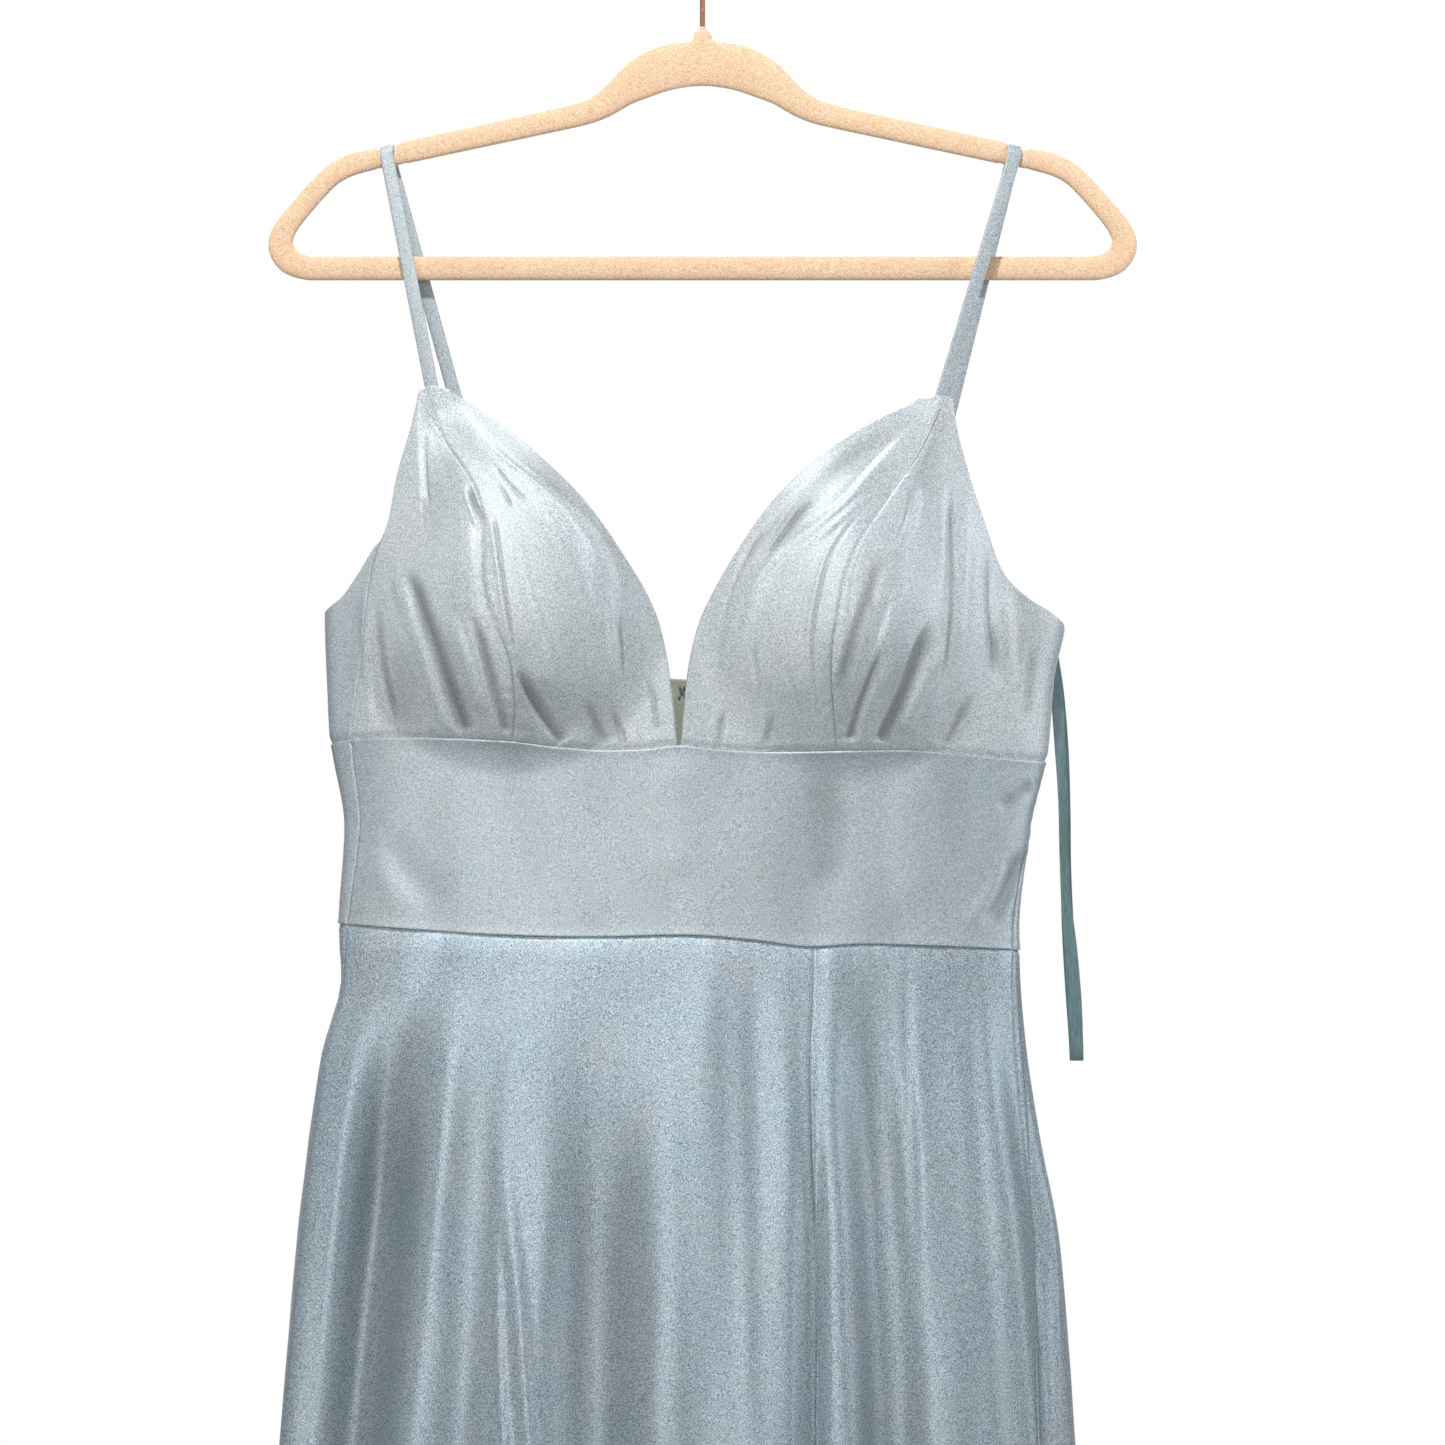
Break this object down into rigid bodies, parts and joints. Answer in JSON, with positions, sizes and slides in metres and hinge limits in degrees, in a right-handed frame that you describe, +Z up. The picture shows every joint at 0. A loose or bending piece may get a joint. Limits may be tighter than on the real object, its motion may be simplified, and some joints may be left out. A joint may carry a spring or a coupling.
{
  "type": "evening gown on a hanger",
  "caption": "Floor-length satin gown with thin straps, padded cups, a deep V neckline, a wide waistband and a flared skirt, hung on a flocked hanger with a wire hook.",
  "frame": {"origin": "where the hook's inner top bears on a rod", "axes": "+Z up, +X towards the wearer's left side, which is on the right of someone facing the gown, -Y out of the gown's front"},
  "size_m": [0.5373, 0.1421, 1.6587],
  "materials": {
    "satin": "pale dusty-blue crepe-back satin, soft sheen",
    "ribbon": "teal satin ribbon",
    "zip_tape": "woven tape, matt",
    "zip_metal": "lacquered to match the cloth",
    "flock": "beige flock over plastic",
    "hook_wire": "rose-copper plated wire"
  },
  "bodies": {
    "root": {"cup_right_side": "satin", "cup_right_centre": "satin", "cup_left_centre": "satin", "cup_left_side": "satin", "back_top_right": "satin", "back_top_left": "satin", "waistband_front": "satin", "waistband_back_right": "satin", "waistband_back_left": "satin", "skirt_front_right": "satin", "skirt_front_left": "satin", "skirt_back_left": "satin", "skirt_back_right": "satin", "strap_right": "satin", "strap_left": "satin", "hanging_loop": "ribbon", "zip_tape": "zip_tape", "zip_slider": "zip_metal", "hanger_body": "flock", "hanger_neck": "flock", "hook": "hook_wire"},
    "pull": {"zip_pull": "zip_metal"}
  },
  "joints": [
    {"name": "zip_pull_hinge", "type": "hinge", "parent": "root", "child": "pull", "pos_m": [0.004, 0.01966, -0.442], "axis": [1, 0, 0], "range_deg": [0, 150]}
  ]
}
